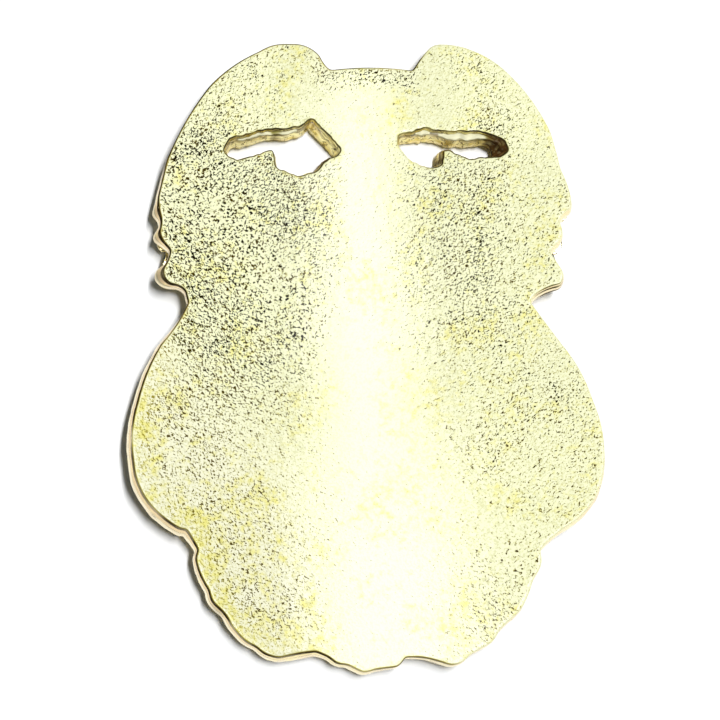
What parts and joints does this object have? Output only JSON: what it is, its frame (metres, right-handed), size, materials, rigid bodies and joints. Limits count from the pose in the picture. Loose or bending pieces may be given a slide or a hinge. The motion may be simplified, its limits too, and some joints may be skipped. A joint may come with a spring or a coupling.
{
  "type": "cast bodyguard badge",
  "caption": "Eagle-topped shield badge cast in one piece, hollow-bent back, two pierced openings under the wings, relief front with blank banners and medallion.",
  "frame": {"origin": "on the surface that the badge lies on, under the middle of its outline", "axes": "+Y towards the wings, +Z out of the hollow back, +X to the right as the back is seen with the wings up; the relief front looks along -Z"},
  "size_m": [0.0576, 0.0786, 0.0057],
  "materials": {
    "gold_plate": "bright gold plate over a sandblasted casting"
  },
  "bodies": {
    "root": {"badge_casting": "gold_plate"}
  },
  "joints": []
}
